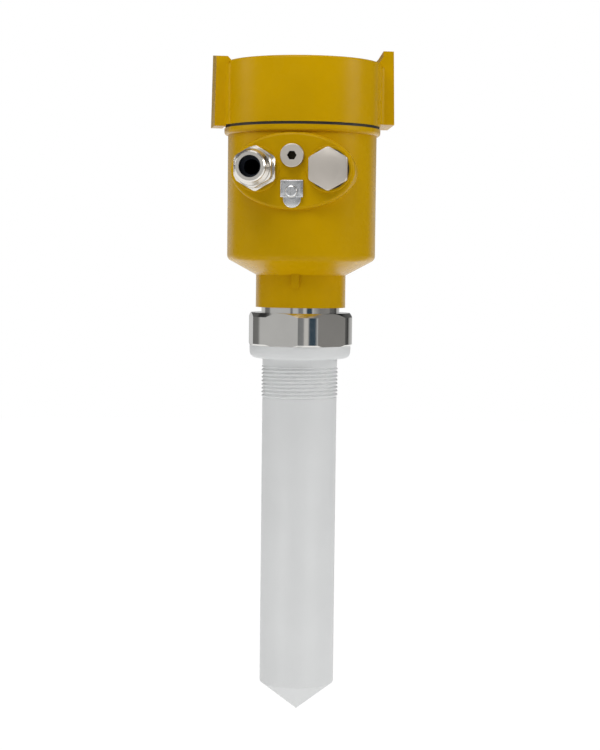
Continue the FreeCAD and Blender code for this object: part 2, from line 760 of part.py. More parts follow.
def blind_plug():
    """The hexagon plug in the unused entry, with its washer."""
    x, z = "entry_spacing / 2", ENTRY
    washer("plug_washer", "entry_thread_radius", "plug_washer_radius", "plug_washer_height",
           x, f"-{PAD_FACE}", z)
    bar = hexagon("plug_bar", "plug_flats", "plug_head_height", turn="30")
    blank = turned("plug_blank", [
        ("0", "0"),
        ("plug_corner_radius", "0"),
        ("plug_corner_radius", "plug_head_height + plug_face_radius - plug_corner_radius"),
        ("plug_face_radius", "plug_head_height"),
        ("0", "plug_head_height"),
    ])
    shank = turned("plug_shank", [
        ("plug_shank_bore", "-plug_shank_length"),
        ("entry_thread_radius - fit_gap", "-plug_shank_length"),
        ("entry_thread_radius - fit_gap", "face_gap"),
        ("plug_shank_bore", "face_gap"),
    ])
    plug = fuse("plug_solid", common("plug_head", bar, blank), shank)
    finish(face_front(plug, x, f"-({PAD_FACE} + plug_washer_height)", z), "blind_plug")


def vent_plug():
    """The round socket-head vent plug above the entries, with its washer."""
    washer("vent_washer", "vent_shank_radius", "vent_washer_radius", "vent_washer_height",
           "0", "-boss_face", VENT)
    body = turned("vent_turned", [
        ("0", "-vent_shank_length"),
        ("vent_shank_radius - fit_gap", "-vent_shank_length"),
        ("vent_shank_radius - fit_gap", "0"),
        ("vent_head_radius", "0"),
        ("vent_head_radius", "vent_head_height"),
        ("0", "vent_head_height"),
    ])
    rounded(body, "vent_head_round", "vent_head_radius", "vent_head_height")
    socket = hexagon("vent_socket", "vent_socket_flats", "vent_socket_depth + face_gap",
                     "vent_head_height - vent_socket_depth")
    plug = cut("vent_cut", body, socket)
    finish(face_front(plug, y="-(boss_face + vent_washer_height)", z=VENT), "vent_plug")


def ground_terminal():
    """The outer ground terminal: tongue, folded clamp, spring washer and cross-slot screw."""
    spot = {"y": "-boss_face", "z": GROUND}
    hole = {"Radius": "ground_shank_radius", "Height": "clamp_depth * 2"}
    plate = box("tongue_plate", "tongue_width", "tongue_top + tongue_drop", "tongue_thickness",
                y="(tongue_top - tongue_drop) / 2")
    tip = cylinder("tongue_tip", "tongue_width / 2", "tongue_thickness", y="-tongue_drop")
    tongue = cut("tongue_cut", fuse("tongue_solid", plate, tip), solid("Cylinder", "tongue_hole", **hole))
    finish(face_front(tongue, **spot), "ground_tongue")

    shell = box("clamp_block", "clamp_width", "clamp_top + clamp_foot", "clamp_depth",
                y="(clamp_top - clamp_foot) / 2")
    inside = box("clamp_inside", "clamp_width - 2 * clamp_sheet", "clamp_top + clamp_foot",
                 "clamp_depth", y="(clamp_top - clamp_foot) / 2 - clamp_sheet", z="-clamp_sheet")
    folded = cut("clamp_folded", shell, inside)
    clamp = cut("clamp_cut", folded, solid("Cylinder", "clamp_hole", **hole))
    finish(face_front(clamp, **spot), "ground_clamp")

    spring = cut("spring_cut", solid("Cylinder", "spring_outer", Radius="ground_washer_radius",
                                     Height="ground_washer_height"),
                 solid("Cylinder", "spring_inner", Radius="ground_shank_radius",
                       Height="ground_washer_height"))
    face_front(spring, y="-(boss_face + clamp_depth)", z=GROUND)
    finish(spring, "ground_washer")

    seat = "(clamp_depth + ground_washer_height)"
    body = turned("ground_screw_turned", [
        ("0", "-ground_shank_length"),
        ("ground_shank_radius - fit_gap", "-ground_shank_length"),
        ("ground_shank_radius - fit_gap", seat),
        ("ground_head_radius", seat),
        ("ground_head_radius", f"{seat} + ground_head_height"),
        ("0", f"{seat} + ground_head_height"),
    ])
    rounded(body, "ground_head_round", "ground_head_radius", f"{seat} + ground_head_height")
    level = f"{seat} + ground_head_height - cross_depth"
    cross = fuse("cross_slot", box("cross_across", "cross_length", "cross_width", "cross_depth * 2", z=level),
                 box("cross_along", "cross_width", "cross_length", "cross_depth * 2", z=level))
    finish(face_front(cut("ground_screw_cut", body, cross), **spot), "ground_screw")


def antenna_inside():
    """What the antenna holds: gasket, metal horn, microwave module and its lead."""
    gasket = turned("antenna_seal_turned", [
        (ANTENNA_BORE, STEM_TOP),
        ("stem_radius", STEM_TOP),
        ("stem_radius", SEAT),
        (ANTENNA_BORE, SEAT),
    ])
    finish(gasket, "antenna_seal")
    mouth = f"({ANTENNA_BORE} - horn_mouth_gap)"
    horn = turned("antenna_horn_turned", [
        ("waveguide_radius - horn_wall", SEAT),
        ("horn_flange_radius", SEAT),
        ("horn_flange_radius", f"{SEAT} - horn_flange_height"),
        ("waveguide_radius", f"{SEAT} - horn_flange_height"),
        ("waveguide_radius", "-horn_neck_depth"),
        (mouth, "-horn_mouth_depth"),
        (f"{mouth} - horn_wall", "-horn_mouth_depth"),
        ("waveguide_radius - horn_wall", "-horn_neck_depth"),
    ])
    finish(horn, "antenna_horn")
    finish(cylinder("microwave_puck", "module_bore_radius - fit_gap", "microwave_height", z=SEAT),
           "microwave_module")
    lead_foot = f"({SEAT} + microwave_height)"
    finish(cylinder("signal_lead_rod", "lead_radius", f"{MODULE_FOOT} - slide_gap - {lead_foot}", z=lead_foot),
           "signal_lead")


def small_screw(name, x, y, z):
    """A slotted pan-head screw whose head stands on z."""
    body = turned(name, [
        ("0", "-small_shank_length"),
        ("small_shank_radius - fit_gap", "-small_shank_length"),
        ("small_shank_radius - fit_gap", "0"),
        ("small_head_radius", "0"),
        ("small_head_radius", "small_head_height"),
        ("0", "small_head_height"),
    ])
    slot = box(name + "_slot", "small_head_radius * 3", "slot_width", "slot_depth * 2",
               z="small_head_height - slot_depth")
    screw = cut(name + "_cut", body, slot)
    place(screw, x, y, z)
    return screw


def electronics():
    """The electronics cup with its ears, terminal block and screws inside the housing."""
    cup = cylinder("module_cup", "module_radius", "module_height", z=MODULE_FOOT)
    ears = box("module_ears", "ear_spacing + 2 * ear_end", "ear_width", "ear_height", z=MODULE_FOOT)
    holes = []
    screws = []
    for side, sign in (("left", "-"), ("right", "")):
        x = f"{sign}ear_spacing / 2"
        holes.append(cylinder(side + "_ear_hole", "small_shank_radius", "ear_height", x=x, z=MODULE_FOOT))
        screws.append(small_screw(side + "_module_screw", x, "0", f"{MODULE_FOOT} + ear_height"))
    module = cut("module_drilled", fuse("module_solid", cup, ears), fuse("ear_holes", *holes))
    finish(module, "electronics_module")
    finish(fuse("module_screw_pair", *screws), "module_screws")

    block = box("terminal_body", "terminal_width", "terminal_depth", "terminal_height",
                y="terminal_shift", z=MODULE_TOP)
    openings = []
    heads = []
    for index, column in enumerate((-1.5, -0.5, 0.5, 1.5)):
        x = f"{column} * terminal_pitch"
        wire = solid("Cylinder", f"wire_hole_{index}", Radius="terminal_hole_radius",
                     Height="terminal_hole_depth + face_gap")
        face_front(wire, x, "terminal_shift - terminal_depth / 2 + terminal_hole_depth",
                   f"{MODULE_TOP} + terminal_hole_rise")
        well = cylinder(f"screw_well_{index}", "terminal_well_radius", "terminal_well_depth + face_gap",
                        x=x, y="terminal_shift", z=f"{MODULE_TOP} + terminal_height - terminal_well_depth")
        openings += [wire, well]
        head = cylinder(f"terminal_head_{index}", "terminal_screw_radius", "terminal_screw_height")
        slot = box(f"terminal_slot_{index}", "terminal_screw_radius * 3", "slot_width", "slot_depth * 2",
                   z="terminal_screw_height - slot_depth")
        screw = cut(f"terminal_screw_{index}", head, slot)
        place(screw, x, "terminal_shift", f"{MODULE_TOP} + terminal_height - terminal_well_depth")
        heads.append(screw)
    finish(cut("terminal_drilled", block, fuse("terminal_openings", *openings)), "terminal_block")
    finish(fuse("terminal_screw_row", *heads), "terminal_screws")
    finish(small_screw("earth_screw", "0", EARTH_POST, EARTH_TOP), "inner_ground_screw")


def check_and_export():
    """Stops on a failed object or a bad shape, then writes each sub-part."""
    doc.recompute()
    for thing in doc.Objects:
        if "Invalid" in thing.State or "Error" in thing.State:
            raise RuntimeError(f"{thing.Name} failed: {thing.State}")
    os.makedirs("parts", exist_ok=True)
    for thing in parts:
        shape = thing.Shape
        if shape.isNull() or not shape.isValid() or not shape.Solids:
            raise RuntimeError(f"{thing.Label} has no valid solid")
        shape.exportStep(f"parts/{thing.Label}.step")
        low, high = shape.BoundBox.ZMin, shape.BoundBox.ZMax
        print(f"{thing.Label}: {len(shape.Solids)} solid, {shape.Volume / 1000:.2f} cm3, z {low:.1f} to {high:.1f}")


antenna_cover()
hexagon_fitting()
swivel_pieces()
housing()
cover()
cover_seal()
cable_gland()
blind_plug()
vent_plug()
ground_terminal()
antenna_inside()
electronics()
check_and_export()
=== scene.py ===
# %% [markdown]
# # A radar level transmitter
# The object hangs over a tank: a yellow cast housing with a screw-on cover on top, a steel
# hexagon in the middle, and a long white plastic rod below. The rigid solids come from the
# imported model, which is loaded first and never changed. This file gives them their finishes
# and adds the fine shapes that the solids leave out, such as the screw threads.

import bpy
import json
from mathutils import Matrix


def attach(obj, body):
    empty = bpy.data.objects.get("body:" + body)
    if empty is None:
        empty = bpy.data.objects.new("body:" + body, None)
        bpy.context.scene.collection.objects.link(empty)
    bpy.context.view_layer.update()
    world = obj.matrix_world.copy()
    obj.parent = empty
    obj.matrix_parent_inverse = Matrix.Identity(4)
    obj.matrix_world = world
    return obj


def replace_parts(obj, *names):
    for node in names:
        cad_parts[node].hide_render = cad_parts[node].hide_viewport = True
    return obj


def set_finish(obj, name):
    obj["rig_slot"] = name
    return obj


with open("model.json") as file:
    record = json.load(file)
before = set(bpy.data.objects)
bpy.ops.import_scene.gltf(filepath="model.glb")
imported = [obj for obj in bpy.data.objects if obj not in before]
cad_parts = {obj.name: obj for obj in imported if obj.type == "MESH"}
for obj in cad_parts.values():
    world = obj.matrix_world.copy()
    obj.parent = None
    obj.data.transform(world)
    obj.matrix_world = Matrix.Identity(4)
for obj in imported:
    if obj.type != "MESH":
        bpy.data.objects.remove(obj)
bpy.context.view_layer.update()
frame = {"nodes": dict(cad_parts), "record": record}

# %% Tools of this lesson
import json
import math

import bmesh
import bpy
import numpy as np
from mathutils import Matrix, Vector

NODES = frame["nodes"]
MM = 0.001

# %% [markdown]
# The photograph was taken with a plain camera from about a metre away, turned nearly seven degrees
# to the object's right side and looking slightly down: the horizon lies 113 pixels above the
# picture's middle. A camera could be aimed with a tracking constraint, but a few angles say the
# same and stay readable. The lens is worked out for a picture of 600 by 750 pixels, whose long
# side is the sensor's 36 mm.

# %% Camera
PICTURE_HEIGHT = 750
FOCAL_PIXELS = 1755.0
SENSOR = 36.0
CAMERA_DISTANCE = 1.100
CAMERA_HEIGHT = 0.060
HORIZON_PIXELS = 113.0
PAN_PIXELS = 0.35
CAMERA_AZIMUTH = math.radians(6.6)
CAMERA_DIP = math.atan(HORIZON_PIXELS / FOCAL_PIXELS)
CAMERA_ROLL = math.radians(0.65)
CAMERA_PAN = PAN_PIXELS / FOCAL_PIXELS


def place_camera():
    """Stands the camera on a circle round the axis, then dips it and rolls it."""
    data = bpy.data.cameras.new("camera")
    data.sensor_width = SENSOR
    data.lens = FOCAL_PIXELS * SENSOR / PICTURE_HEIGHT
    data.clip_start, data.clip_end = 0.05, 30.0
    camera = bpy.data.objects.new("camera", data)
    bpy.context.scene.collection.objects.link(camera)
    camera.location = (CAMERA_DISTANCE * math.sin(CAMERA_AZIMUTH),
                       -CAMERA_DISTANCE * math.cos(CAMERA_AZIMUTH), CAMERA_HEIGHT)
    turn = (Matrix.Rotation(CAMERA_AZIMUTH - CAMERA_PAN, 4, "Z")
            @ Matrix.Rotation(math.pi / 2 - CAMERA_DIP, 4, "X")
            @ Matrix.Rotation(CAMERA_ROLL, 4, "Z"))
    camera.rotation_euler = turn.to_euler()
    bpy.context.scene.camera = camera
    return camera


camera = place_camera()
print("lens", round(camera.data.lens, 2), "mm")

# %% [markdown]
# A new piece is a sheet of points: rows of a profile times columns round an axis. Working on
# the whole sheet at once with numpy is quicker than adding vertices one by one, and the same
# two functions then make every turned shape here. Rows that meet the axis shrink to one
# point, so the doubles are merged and the faces are turned outwards at the end.


# %% Sheet of points into a mesh
def surface(name, points, body, smooth_angle=35):
    """A closed sheet round an axis: each cell between four neighbouring points is a face."""
    rows, columns = points.shape[:2]
    index = np.arange(rows * columns).reshape(rows, columns)
    index = np.concatenate([index, index[:, :1]], axis=1)
    faces = np.stack([index[:-1, :-1], index[:-1, 1:], index[1:, 1:], index[1:, :-1]], axis=-1)
    mesh = bpy.data.meshes.new(name)
    mesh.from_pydata(points.reshape(-1, 3).tolist(), [], faces.reshape(-1, 4).tolist())
    shape = bmesh.new()
    shape.from_mesh(mesh)
    bmesh.ops.remove_doubles(shape, verts=shape.verts, dist=1e-7)
    bmesh.ops.recalc_face_normals(shape, faces=shape.faces)
    shape.to_mesh(mesh)
    shape.free()
    mesh.polygons.foreach_set("use_smooth", np.ones(len(mesh.polygons), bool))
    mesh.set_sharp_from_angle(angle=math.radians(smooth_angle))
    piece = bpy.data.objects.new(name, mesh)
    bpy.context.scene.collection.objects.link(piece)
    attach(piece, body)
    print(name, len(mesh.polygons), "faces")
    return piece


# %% Profiles and turning
def softened(corners, steps=5):
    """Rounds a profile of (radius, height, reach) rows: each corner becomes the parabola
    (1-t)^2 start + 2t(1-t) corner + t^2 end, which begins and ends a reach away from it."""
    corners = np.asarray(corners, float)
    spot, reach = corners[:, :2], corners[:, 2:]
    back = np.concatenate([spot[:1], spot[:-1]]) - spot
    ahead = np.concatenate([spot[1:], spot[-1:]]) - spot
    back /= np.maximum(np.linalg.norm(back, axis=1, keepdims=True), 1e-9)
    ahead /= np.maximum(np.linalg.norm(ahead, axis=1, keepdims=True), 1e-9)
    t = np.linspace(0, 1, steps)[None, :, None]
    start, end = (spot + reach * back)[:, None], (spot + reach * ahead)[:, None]
    return ((1 - t) ** 2 * start + 2 * t * (1 - t) * spot[:, None] + t ** 2 * end).reshape(-1, 2)


def turned(radii, heights, columns=128):
    """Turns rows about Z: x = r cos a, y = r sin a. Radii may differ from column to column."""
    angle = np.linspace(0, 2 * np.pi, columns, endpoint=False)[None, :]
    radii = np.broadcast_to(np.atleast_2d(radii.T).T, (len(radii), columns))
    heights = np.broadcast_to(np.atleast_2d(heights.T).T, (len(radii), columns))
    return np.stack([radii * np.cos(angle), radii * np.sin(angle), heights], axis=-1) * MM


def facing_front(points, x, y, z):
    """Lays a shape built along +Z down along -Y, with its foot at a point in millimetres."""
    return np.stack([points[..., 0], -points[..., 2], points[..., 1]], axis=-1) + np.array([x, y, z]) * MM


def step_up(low, high, value):
    """The smooth step 3t^2 - 2t^3, with t going from 0 at low to 1 at high."""
    t = np.clip((value - low) / (high - low), 0, 1)
    return t * t * (3 - 2 * t)


# %% [markdown]
# A screw thread is one groove wound round a cylinder. It could be a helix curve with a
# bevel, but that would leave open ends and crossing faces. Here the cylinder's own radius
# changes instead: along any line the radius is a zigzag with flattened crests and roots,
# and the zigzag slides up by one pitch in a full turn, which makes it a single helix.


# %% Thread
def thread_radius(heights, columns, crest, depth, pitch, phase=0.0):
    """Radius on a sheet of (height, angle): crest minus depth times a flattened zigzag of
    height / pitch minus angle / 360 degrees."""
    turn = np.linspace(0, 1, columns, endpoint=False)[None, :]
    wave = np.abs(((heights[:, None] / pitch - turn + phase) % 1.0) * 2 - 1)
    groove = step_up(0.10, 0.90, 1 - wave)
    return crest - depth * groove


# %% [markdown]
# ## The white antenna cover
# The rod is one hollow piece of fluoroplastic: a pointed tip that drips off condensate, a
# plain rod, a G 1 1/2 pipe thread of 11 turns an inch, and a flange with a large round below.
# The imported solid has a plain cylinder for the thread, so this turned sheet takes its place.

# %% Antenna cover
ROD_RADIUS, ROD_FOOT, TIP = 23.3, -204.8, -223.0
THREAD_TOP, THREAD_FOOT, CREST, THREAD_DEPTH, THREAD_PITCH = -5.0, -24.4, 23.9, 0.95, 2.309
THREAD_PHASE = 0.83
RELIEF_RADIUS, FLANGE_RADIUS, FLANGE_TOP, FLANGE_ROUND = 23.4, 31.6, 8.1, 5.0
STEM_RADIUS, STEM_TOP, BORE_RADIUS, INNER_TIP = 23.0, 23.1, 20.1, -218.94
RUN_OUT, ROW_MARGIN = 0.8, 0.9


def antenna_cover():
    """The rod's sheet: softened profile below and above, helical thread rows between."""
    columns, thread_rows = 192, 140
    below = softened([(0, TIP, 0.5), (ROD_RADIUS, ROD_FOOT, 0.5), (ROD_RADIUS, THREAD_FOOT - 1.0, 0)])
    middle = np.linspace(THREAD_FOOT - ROW_MARGIN, THREAD_TOP + ROW_MARGIN, thread_rows)
    above = softened([(RELIEF_RADIUS, THREAD_TOP + 1.0, 0), (RELIEF_RADIUS, 0, 0.15),
                      (FLANGE_RADIUS, 0, FLANGE_ROUND), (FLANGE_RADIUS, FLANGE_TOP, 0.25),
                      (STEM_RADIUS, FLANGE_TOP, 0), (STEM_RADIUS, STEM_TOP, 0.2),
                      (BORE_RADIUS, STEM_TOP, 0.2), (BORE_RADIUS, ROD_FOOT + 1.5, 1.0),
                      (0, INNER_TIP, 0)], steps=9)
    wound = thread_radius(middle, columns, CREST, THREAD_DEPTH, THREAD_PITCH, THREAD_PHASE)
    plain = np.where(middle > (THREAD_FOOT + THREAD_TOP) / 2, RELIEF_RADIUS, ROD_RADIUS)[:, None]
    inside = (step_up(THREAD_FOOT - RUN_OUT, THREAD_FOOT + RUN_OUT, middle)
              * (1 - step_up(THREAD_TOP - RUN_OUT, THREAD_TOP + RUN_OUT, middle)))[:, None]
    radii = np.concatenate([np.repeat(below[:, :1], columns, 1), plain + (wound - plain) * inside,
                            np.repeat(above[:, :1], columns, 1)])
    heights = np.concatenate([below[:, 1], middle, above[:, 1]])
    radii[0] = radii[-1] = 0.0
    return surface("antenna_cover_threaded", turned(radii, heights, columns), "process_fitting", 40)


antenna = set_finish(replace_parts(antenna_cover(), "antenna_cover"), "white_plastic")

# %% [markdown]
# ## The threads that show when something is unscrewed
# The cover runs on a thread round the housing's collar, and the dome nut on one round the
# gland's collar. Both hide at rest. Each is a thin threaded sleeve that lies on the packed
# collar and stays inside the clearance of the piece that screws over it.

# %% Collar threads
SCREW_COLLAR, SCREW_FOOT, SCREW_TOP, COVER_PITCH = 43.6, 142.1, 157.1, 2.0
GLAND_X, ENTRY_Z, GLAND_SEAT = -21.75, 115.3, -51.4
GLAND_COLLAR, GLAND_FOOT, GLAND_TOP, NUT_PITCH = 9.9, 5.0, 14.0, 1.5
SKIN, SINK, ROWS_A_TURN = 0.02, 0.3, 12


def threaded_sleeve(radius, low, high, pitch, depth, columns):
    """Rows up a threaded wall that lies a skin's width on the collar at its ends, closed by one
    row just inside the collar at the foot and one at the top."""
    heights = np.linspace(low, high, int((high - low) / pitch * ROWS_A_TURN))
    wall = thread_radius(heights, columns, radius + depth, depth, pitch)
    ends = (step_up(low, low + pitch, heights) * (1 - step_up(high - pitch, high, heights)))[:, None]
    wall = radius + SKIN + (wall - radius - SKIN) * ends
    inner = np.full((2, columns), radius - SINK)
    radii = np.concatenate([inner[:1], wall, inner[1:]])
    return turned(radii, np.concatenate([[low], heights, [high]]), columns)


collar_sheet = threaded_sleeve(SCREW_COLLAR, SCREW_FOOT + 1.9, SCREW_TOP - 0.6, COVER_PITCH, 0.3, 256)
gland_sheet = threaded_sleeve(GLAND_COLLAR, GLAND_FOOT + 0.6, GLAND_TOP - 0.4, NUT_PITCH, 0.22, 96)
collar_thread = surface("collar_thread", collar_sheet, "housing", 60)
gland_thread = surface("gland_thread", facing_front(gland_sheet, GLAND_X, GLAND_SEAT, ENTRY_Z), "housing", 60)

# %% [markdown]
# ## Edges that catch the light
# No machined or folded piece has a knife edge, and a rounded one shows as a thin bright or
# dark line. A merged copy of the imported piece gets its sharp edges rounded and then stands
# for it. Outer edges lose a sliver by this and inner corners gain one, which is too little to
# matter for how the pieces fit.


# %% Rounded edges
FLAT_ANGLE, SHARP_ANGLE, SHADE_ANGLE = math.radians(0.5), math.radians(28), math.radians(32)


def eased(node, body, width, slot):
    """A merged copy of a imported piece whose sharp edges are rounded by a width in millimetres."""
    mesh = bpy.data.meshes.new(node + "_eased")
    shape = bmesh.new()
    shape.from_mesh(NODES[node].data)
    bmesh.ops.remove_doubles(shape, verts=shape.verts, dist=1e-6)
    bmesh.ops.dissolve_limit(shape, angle_limit=FLAT_ANGLE, verts=shape.verts, edges=shape.edges)
    sharp = [edge for edge in shape.edges if edge.calc_face_angle(0) > SHARP_ANGLE]
    bmesh.ops.bevel(shape, geom=sharp, offset=width * MM, segments=3, profile=0.5, affect="EDGES",
                    clamp_overlap=True)
    bmesh.ops.triangulate(shape, faces=shape.faces)
    bmesh.ops.recalc_face_normals(shape, faces=shape.faces)
    shape.to_mesh(mesh)
    shape.free()
    mesh.polygons.foreach_set("use_smooth", np.ones(len(mesh.polygons), bool))
    mesh.set_sharp_from_angle(angle=SHADE_ANGLE)
    piece = bpy.data.objects.new(mesh.name, mesh)
    bpy.context.scene.collection.objects.link(piece)
    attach(piece, body)
    print(piece.name, len(sharp), "edges rounded,", len(mesh.polygons), "faces")
    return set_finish(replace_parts(piece, node), slot)


EASED = [eased("blind_plug", "housing", 0.35, "satin_nickel"),
         eased("ground_clamp", "housing", 0.45, "zinc_plate"),
         eased("ground_tongue", "housing", 0.25, "zinc_plate")]

# %% [markdown]
# ## Materials
# Every finish is a small node tree on the Principled shader. Patterns read Object
# coordinates, which are metres here, so a noise scale of 900 means grains of about a
# millimetre. A few helpers keep the trees short: they make a node, a blend of two colours, a
# bump, or a roughness that drifts with a pattern.


# %% Node helpers
def new_finish(name, color, roughness, metallic=0.0, **sockets):
    """A material whose constants are set on the Principled shader's own sockets."""
    material = bpy.data.materials.new(name)
    material.use_nodes = True
    shader = principled(material)
    shader.inputs["Base Color"].default_value = (*color, 1)
    shader.inputs["Roughness"].default_value = roughness
    shader.inputs["Metallic"].default_value = metallic
    for socket, value in sockets.items():
        shader.inputs[socket.replace("_", " ")].default_value = value
    return material


def add_node(material, kind, **values):
    """A node with some of its inputs set by name."""
    node = material.node_tree.nodes.new(kind)
    for socket, value in values.items():
        node.inputs[socket.replace("_", " ")].default_value = value
    return node


def join(material, output, target):
    material.node_tree.links.new(output, target)


def maths(material, operation, first, second, *values):
    """A node that works out one operation on two inputs, each a socket or a plain number."""
    node = material.node_tree.nodes.new("ShaderNodeMath")
    node.operation = operation
    for i, value in enumerate((first, second, *values)):
        if isinstance(value, (int, float)):
            node.inputs[i].default_value = value
        else:
            join(material, value, node.inputs[i])
    return node.outputs[0]


def principled(material):
    return material.node_tree.nodes["Principled BSDF"]


def object_axes(material):
    """The three Object coordinates, in metres, as sockets named X, Y and Z."""
    place = add_node(material, "ShaderNodeTexCoord")
    axes = add_node(material, "ShaderNodeSeparateXYZ")
    join(material, place.outputs["Object"], axes.inputs[0])
    return axes.outputs


def noise(material, scale, detail=2.0, stretch=(1, 1, 1)):
    """Noise on Object coordinates, drawn out along an axis by a small stretch value."""
    place = add_node(material, "ShaderNodeTexCoord")
    mapping = add_node(material, "ShaderNodeMapping", Scale=stretch)
    grain = add_node(material, "ShaderNodeTexNoise", Scale=scale, Detail=detail)
    join(material, place.outputs["Object"], mapping.inputs["Vector"])
    join(material, mapping.outputs["Vector"], grain.inputs["Vector"])
    return grain.outputs["Fac"]


def ramp_between(material, source, start, end, low, high):
    """Maps a value from start..end to low..high and holds it beyond them."""
    node = add_node(material, "ShaderNodeMapRange")
    for socket, value in (("From Min", start), ("From Max", end), ("To Min", low), ("To Max", high)):
        node.inputs[socket].default_value = value
    join(material, source, node.inputs["Value"])
    return node.outputs["Result"]


def spread(material, source, low, high):
    """Maps a pattern's middle range to values from low to high."""
    return ramp_between(material, source, 0.3, 0.7, low, high)


def tint(material, share, first, second):
    """Base colour that goes from the first to the second with a share from 0 to 1. Where the
    first is None, what feeds the base colour already takes its place."""
    base = principled(material).inputs["Base Color"]
    mix = material.node_tree.nodes.new("ShaderNodeMix")
    mix.data_type = "RGBA"
    if first is None:
        join(material, base.links[0].from_socket, mix.inputs[6])
    else:
        mix.inputs[6].default_value = (*first, 1)
    mix.inputs[7].default_value = (*second, 1)
    join(material, share, mix.inputs[0])
    join(material, mix.outputs[2], base)


def bump(material, source, depth, strength=1.0):
    """Bump of a real depth in metres on the shader's normal."""
    node = add_node(material, "ShaderNodeBump", Strength=strength, Distance=depth)
    join(material, source, node.inputs["Height"])
    join(material, node.outputs["Normal"], principled(material).inputs["Normal"])


def rough(material, source, low, high):
    """Roughness that drifts between two values with a pattern."""
    join(material, spread(material, source, low, high), principled(material).inputs["Roughness"])


# %% [markdown]
# The housing is cast aluminium under a sprayed and baked coat. Such paint is smooth, but its
# surface keeps a faint orange peel, and its shade drifts a little. Seen square on it reflects
# next to nothing, while its edges, seen at a slant, mirror the bright room: the Facing value
# of a Layer Weight node raises the shader's reflectance there. On the machined collar under
# the cover the metal is bare, so on the housing a step on height swaps paint for metal.

# %% Yellow paint
PAINT_DARK, PAINT_LIGHT = (0.60, 0.345, 0.0), (0.64, 0.368, 0.0)
SLANT_FROM, SLANT_TO, FRONT_REFLECTANCE, EDGE_REFLECTANCE = 0.57, 0.73, 0.08, 0.60
BARE_METAL, BARE_STEP = (0.72, 0.72, 0.73), 0.1


def yellow_paint(name):
    """A sprayed coat with a faint orange peel, which mirrors the room only at a slant."""
    paint = new_finish(name, PAINT_LIGHT, 0.28)
    tint(paint, spread(paint, noise(paint, 38, 3), 0, 1), PAINT_DARK, PAINT_LIGHT)
    rough(paint, noise(paint, 120, 2), 0.24, 0.32)
    bump(paint, noise(paint, 700, 1), 0.00002, 0.5)
    slant = add_node(paint, "ShaderNodeLayerWeight", Blend=0.5)
    reflectance = ramp_between(paint, slant.outputs["Facing"], SLANT_FROM, SLANT_TO,
                               FRONT_REFLECTANCE, EDGE_REFLECTANCE)
    join(paint, reflectance, principled(paint).inputs["Specular IOR Level"])
    return paint


def bare_collar(paint):
    """Turns the paint into bare metal above the rim, where the cover's thread is cut."""
    bare = ramp_between(paint, object_axes(paint)["Z"], SCREW_FOOT * MM, (SCREW_FOOT + BARE_STEP) * MM, 0, 1)
    tint(paint, bare, None, BARE_METAL)
    join(paint, bare, principled(paint).inputs["Metallic"])
    return paint


FINISHES = {"yellow_paint": yellow_paint("yellow_paint_finish")}
PIECE_FINISHES = {"housing": bare_collar(yellow_paint("housing_finish"))}
print("yellow paint for the cover, and a second one with a bare collar for the housing")

# %% [markdown]
# The rod is turned from fluoroplastic, a waxy white plastic that lets a little light in. It
# could scatter light below its surface, but that takes long to render, so a slightly cloudy
# matt white was chosen. The lathe's fine rings are noise that changes quickly along Z only.


# %% White plastic
def white_plastic():
    """Turned fluoroplastic: waxy, with fine turning marks and a faint cloudiness."""
    plastic = new_finish("white_plastic_finish", (0.80, 0.81, 0.81), 0.45)
    cloud = spread(plastic, noise(plastic, 25, 3), 0, 1)
    tint(plastic, cloud, (0.775, 0.785, 0.785), (0.815, 0.825, 0.825))
    rough(plastic, noise(plastic, 60, 2), 0.42, 0.52)
    bump(plastic, noise(plastic, 900, 1, (0.05, 0.05, 3)), 0.00001, 0.4)
    return plastic


FINISHES["white_plastic"] = white_plastic()
print("white plastic for the antenna cover")


# %% [markdown]
# The fitting is polished stainless steel, the gland is bright nickel, the two plugs are satin
# nickel and the earth terminal is zinc-plated. They differ in colour and in how widely they
# blur what they mirror. Each could have its own node tree, but one function and a row of
# numbers for each metal are easier to compare. Turned pieces have their grain drawn into rings.


# %% Metals
def worked_metal(name, color, low, high, scale, depth, stretch=(1, 1, 1)):
    """Bare or plated metal: a fine grain sets its roughness and its faint bump, and a wide
    pattern lets its shade drift."""
    metal = new_finish(name, color, low, 1.0)
    grain = noise(metal, scale, 3, stretch)
    tint(metal, spread(metal, noise(metal, 45, 2), 0, 1), tuple(0.93 * c for c in color), color)
    rough(metal, grain, low, high)
    bump(metal, grain, depth, 0.5)
    return metal


# Each row: colour, lowest and highest roughness, grain scale, bump depth in metres, stretch.
TURNED = (0.1, 0.1, 2)
SATIN_NICKEL = ((0.66, 0.61, 0.55), 0.36, 0.46, 2200, 8e-6)
METALS = {
    "stainless_steel": ((0.74, 0.73, 0.70), 0.06, 0.12, 1500, 1.5e-6, TURNED),
    "spring_steel": ((0.45, 0.46, 0.48), 0.25, 0.35, 800, 4e-6),
    "nickel_plate": ((0.78, 0.75, 0.70), 0.16, 0.26, 900, 3e-6),
    "satin_nickel": SATIN_NICKEL,
    "zinc_plate": ((0.70, 0.71, 0.72), 0.16, 0.28, 1300, 5e-6),
    "horn_aluminium": ((0.75, 0.75, 0.76), 0.25, 0.35, 700, 5e-6, TURNED),
    "module_casing": ((0.55, 0.56, 0.58), 0.3, 0.4, 900, 5e-6),
}
for slot, values in METALS.items():
    FINISHES[slot] = worked_metal(slot + "_finish", *values)
print(len(METALS), "metals")


# %% [markdown]
# The hexagon socket in the vent plug looks nearly black, since shade gathers in it. The lamps leave
# it lighter, so its shade is painted into the metal's colour. A second material would need its faces
# to be picked out of the imported mesh. Position tells them as well: what is near the plug's axis and
# deeper than the socket's mouth is inside it.

# %% Socket of the vent plug
VENT_X, VENT_Z, SOCKET_RADIUS, SOCKET_MOUTH = 0, 123.2, 2.95, -53.3
# Colour of the painted shade inside the vent plug's socket.
SOCKET_PAINTED_SHADE = (0.02, 0.016, 0.01)


